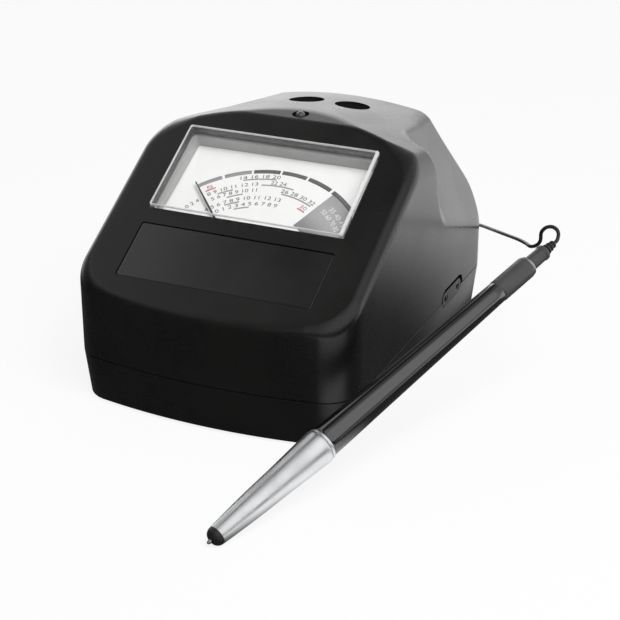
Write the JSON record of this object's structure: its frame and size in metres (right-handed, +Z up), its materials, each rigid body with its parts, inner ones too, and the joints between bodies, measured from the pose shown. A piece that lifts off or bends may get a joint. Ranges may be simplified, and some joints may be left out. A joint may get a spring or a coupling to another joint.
{
  "type": "gemstone tester",
  "caption": "Desk-top gemstone tester with a sloping face, an analogue meter behind a clear window, push buttons and a lamp on top, and a probe wand on a thin lead.",
  "frame": {"origin": "on the table under the middle of the body, between its front and its rear wall", "axes": "+Z up from the table, front of the body towards -Y, +X to the right as seen from the front"},
  "size_m": [0.1345, 0.2294, 0.0797],
  "materials": {
    "body_plastic": "satin moulded black plastic",
    "label": "bare matt label plate",
    "cell_jacket": "plain printed jacket",
    "spring_steel": "bright spring steel",
    "foot_rubber": "matt rubber",
    "screw_steel": "plated steel",
    "circuit_board": "green lacquered board",
    "chip_plastic": "matt black moulding",
    "socket_plastic": "matt black moulding",
    "contact_brass": "bright brass",
    "button_plastic": "matt black button",
    "stem_plastic": "white moulding",
    "lamp_lens": "smoked clear lens",
    "window_clear": "clear moulded acrylic",
    "meter_plastic": "pale grey moulding",
    "dial_enamel": "white enamel with a printed scale",
    "magnet_iron": "plain iron",
    "coil_copper": "lacquered copper winding",
    "needle_paint": "black painted needle",
    "probe_metal": "bare probe pin",
    "barrel_plastic": "polished black barrel",
    "wand_chrome": "brushed bright chrome",
    "collar_rubber": "soft matt black",
    "lead_rubber": "smooth black lead jacket"
  },
  "bodies": {
    "body": {"base_pan": "body_plastic", "upper_housing": "body_plastic", "label_plate": "label", "battery_cells": "cell_jacket", "cell_contacts": "spring_steel", "rubber_feet": "foot_rubber", "case_screws": "screw_steel", "main_board": "circuit_board", "control_chip": "chip_plastic", "board_capacitors": "chip_plastic", "buzzer": "chip_plastic", "board_screws": "screw_steel", "power_socket": "socket_plastic", "power_socket_sleeves": "contact_brass", "probe_socket": "socket_plastic", "switch_bodies": "chip_plastic", "switch_board": "circuit_board", "switch_board_screws": "screw_steel", "ready_lamp": "lamp_lens", "lamp_ring": "button_plastic", "meter_window": "window_clear", "meter_case": "meter_plastic", "meter_screws": "screw_steel", "dial_plate": "dial_enamel", "ring_magnet": "magnet_iron", "iron_core": "magnet_iron", "meter_bridge": "contact_brass", "probe_plug": "socket_plastic", "plug_boot": "lead_rubber", "lead_drop": "lead_rubber", "lead_coil": "lead_rubber", "lead_tie": "collar_rubber", "lead_run": "lead_rubber"},
    "left_button": {"left_button": "button_plastic", "left_switch_stem": "stem_plastic"},
    "right_button": {"right_button": "button_plastic", "right_switch_stem": "stem_plastic"},
    "meter_movement": {"moving_coil": "coil_copper", "coil_pivots": "spring_steel", "needle": "needle_paint"},
    "battery_door": {"battery_door": "body_plastic"},
    "wand": {"pin_spring": "spring_steel", "nose_insulator": "barrel_plastic", "nose_cone": "wand_chrome", "wand_ring": "wand_chrome", "wand_barrel": "barrel_plastic", "wand_board": "circuit_board", "tail_collar": "collar_rubber", "collar_ring": "wand_chrome", "tail_sleeve": "collar_rubber", "strain_relief": "lead_rubber"},
    "probe_tip": {"probe_pin": "probe_metal", "heater_block": "contact_brass"}
  },
  "joints": [
    {"name": "left_button_press", "type": "slide", "parent": "body", "child": "left_button", "axis": [0, -0.1392, -0.9903], "range_m": [0, 0.0012], "stiffness_N_per_m": 300},
    {"name": "right_button_press", "type": "slide", "parent": "body", "child": "right_button", "axis": [0, -0.1392, -0.9903], "range_m": [0, 0.0012], "stiffness_N_per_m": 300},
    {"name": "needle_swing", "type": "hinge", "parent": "body", "child": "meter_movement", "pos_m": [0.001, -0.04288, 0.05105], "axis": [0, 0.5, -0.866], "range_deg": [0, 87], "stiffness_Nm_per_rad": 0.0001},
    {"name": "battery_door_slide", "type": "slide", "parent": "body", "child": "battery_door", "axis": [-1, 0, 0], "range_m": [0, 0.06]},
    {"name": "wand_lift", "type": "hinge", "parent": "body", "child": "wand", "pos_m": [0.03366, -0.11949, 0], "axis": [0.9239, -0.3827, 0], "range_deg": [-14.5, 20], "deforming": ["lead_run"]},
    {"name": "probe_pin_press", "type": "slide", "parent": "wand", "child": "probe_tip", "axis": [0.3635, 0.8777, 0.3123], "range_m": [0, 0.001], "stiffness_N_per_m": 300, "deforming": ["pin_spring"]}
  ]
}
